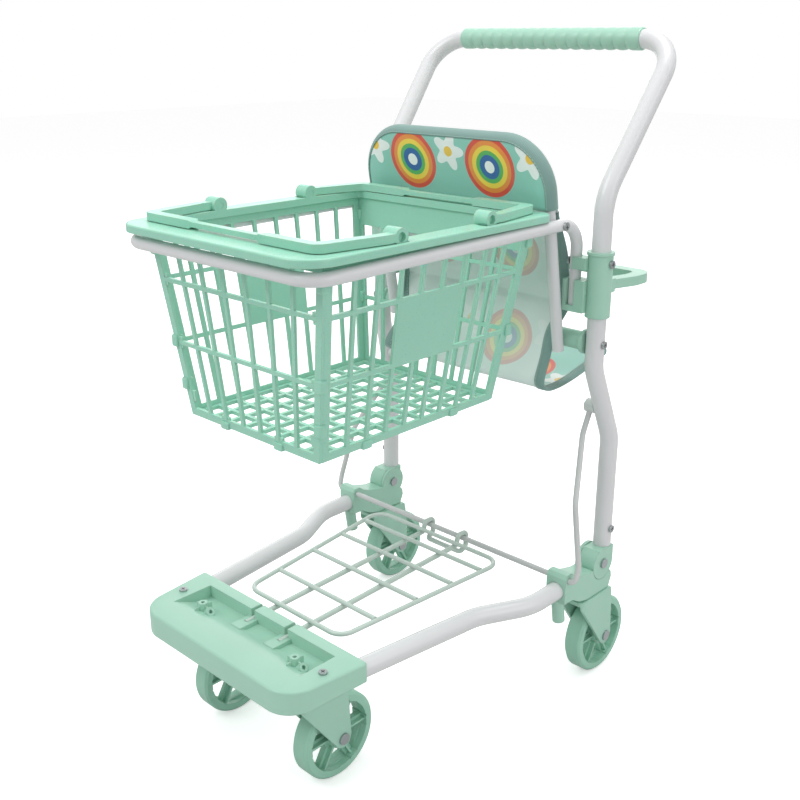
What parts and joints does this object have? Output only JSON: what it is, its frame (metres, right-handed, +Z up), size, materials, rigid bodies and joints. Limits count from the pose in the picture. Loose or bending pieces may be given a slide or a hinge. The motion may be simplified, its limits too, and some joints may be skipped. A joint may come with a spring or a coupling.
{
  "type": "toy shopping trolley",
  "caption": "Toy shopping trolley: bent-tube frame on swivel casters, lift-out lattice basket with fold-over bails, rear doll seat and lower wire rack.",
  "frame": {"origin": "on the floor, at the centre of the bounding box", "axes": "+Z up, -Y the way the trolley rolls, +X to the left of whoever pushes it"},
  "size_m": [0.303, 0.4219, 0.5749],
  "materials": {
    "white_tube": "white powder coat",
    "grey_wire": "pale grey paint",
    "mint_wire": "pale green paint",
    "mint_plastic": "satin moulding",
    "steel_screw": "zinc plated",
    "seat_cloth": "coated woven polyester"
  },
  "bodies": {
    "frame": {"front_tray": "mint_plastic", "tray_screws": "steel_screw", "side_tube_left": "white_tube", "side_tube_right": "white_tube", "bracket_left": "mint_plastic", "bracket_right": "mint_plastic", "knuckle_left": "mint_plastic", "knuckle_right": "mint_plastic", "hinge_pin_left": "steel_screw", "hinge_pin_right": "steel_screw", "upright_left": "white_tube", "upright_right": "white_tube", "upright_screws": "steel_screw", "handle_tube": "white_tube", "handle_grip": "mint_plastic", "collar_left": "mint_plastic", "collar_right": "mint_plastic", "collar_screws": "steel_screw", "bumper_bar": "mint_plastic", "stay_wire": "grey_wire", "stay_clip_left": "grey_wire", "stay_clip_right": "grey_wire", "rack_frame": "mint_wire", "rack_rungs": "mint_wire", "rack_rails": "mint_wire", "basket_hoop": "white_tube", "hoop_screws": "steel_screw", "backrest_tube": "white_tube", "seat_bar": "mint_plastic", "seat_backrest": "seat_cloth", "seat_pan": "seat_cloth", "kingpin_front_left": "steel_screw", "kingpin_front_right": "steel_screw", "kingpin_rear_left": "steel_screw", "kingpin_rear_right": "steel_screw"},
    "basket": {"basket_floor": "mint_plastic", "basket_front": "mint_plastic", "basket_rear": "mint_plastic", "basket_left": "mint_plastic", "basket_right": "mint_plastic", "basket_rim": "mint_plastic"},
    "bail_front": {"bail_front": "mint_plastic"},
    "bail_rear": {"bail_rear": "mint_plastic"},
    "caster_front_left": {"fork_front_left": "mint_plastic", "axle_front_left": "steel_screw"},
    "wheel_front_left": {"wheel_front_left": "mint_plastic"},
    "caster_front_right": {"fork_front_right": "mint_plastic", "axle_front_right": "steel_screw"},
    "wheel_front_right": {"wheel_front_right": "mint_plastic"},
    "caster_rear_left": {"fork_rear_left": "mint_plastic", "axle_rear_left": "steel_screw"},
    "wheel_rear_left": {"wheel_rear_left": "mint_plastic"},
    "caster_rear_right": {"fork_rear_right": "mint_plastic", "axle_rear_right": "steel_screw"},
    "wheel_rear_right": {"wheel_rear_right": "mint_plastic"}
  },
  "joints": [
    {"name": "swivel_front_left", "type": "hinge", "parent": "frame", "child": "caster_front_left", "pos_m": [0.0645, -0.159, 0.087], "axis": [0, 0, 1], "continuous": true},
    {"name": "spin_front_left", "type": "hinge", "parent": "caster_front_left", "child": "wheel_front_left", "pos_m": [0.0645, -0.14, 0.037], "axis": [1, 0, 0], "continuous": true},
    {"name": "swivel_front_right", "type": "hinge", "parent": "frame", "child": "caster_front_right", "pos_m": [-0.0645, -0.159, 0.087], "axis": [0, 0, 1], "continuous": true},
    {"name": "spin_front_right", "type": "hinge", "parent": "caster_front_right", "child": "wheel_front_right", "pos_m": [-0.0645, -0.14, 0.037], "axis": [1, 0, 0], "continuous": true},
    {"name": "swivel_rear_left", "type": "hinge", "parent": "frame", "child": "caster_rear_left", "pos_m": [0.1315, 0.115, 0.087], "axis": [0, 0, 1], "continuous": true},
    {"name": "spin_rear_left", "type": "hinge", "parent": "caster_rear_left", "child": "wheel_rear_left", "pos_m": [0.1315, 0.134, 0.037], "axis": [1, 0, 0], "continuous": true},
    {"name": "swivel_rear_right", "type": "hinge", "parent": "frame", "child": "caster_rear_right", "pos_m": [-0.1315, 0.115, 0.087], "axis": [0, 0, 1], "continuous": true},
    {"name": "spin_rear_right", "type": "hinge", "parent": "caster_rear_right", "child": "wheel_rear_right", "pos_m": [-0.1315, 0.134, 0.037], "axis": [1, 0, 0], "continuous": true},
    {"name": "basket_lift", "type": "slide", "parent": "frame", "child": "basket", "axis": [0, -0.1289, 0.9917], "range_m": [0, 0.16]},
    {"name": "bail_front_fold", "type": "hinge", "parent": "basket", "child": "bail_front", "pos_m": [0, -0.104, 0.4392], "axis": [-1, 0, 0], "range_deg": [0, 120]},
    {"name": "bail_rear_fold", "type": "hinge", "parent": "basket", "child": "bail_rear", "pos_m": [0, -0.007, 0.4392], "axis": [1, 0, 0], "range_deg": [0, 120]}
  ]
}
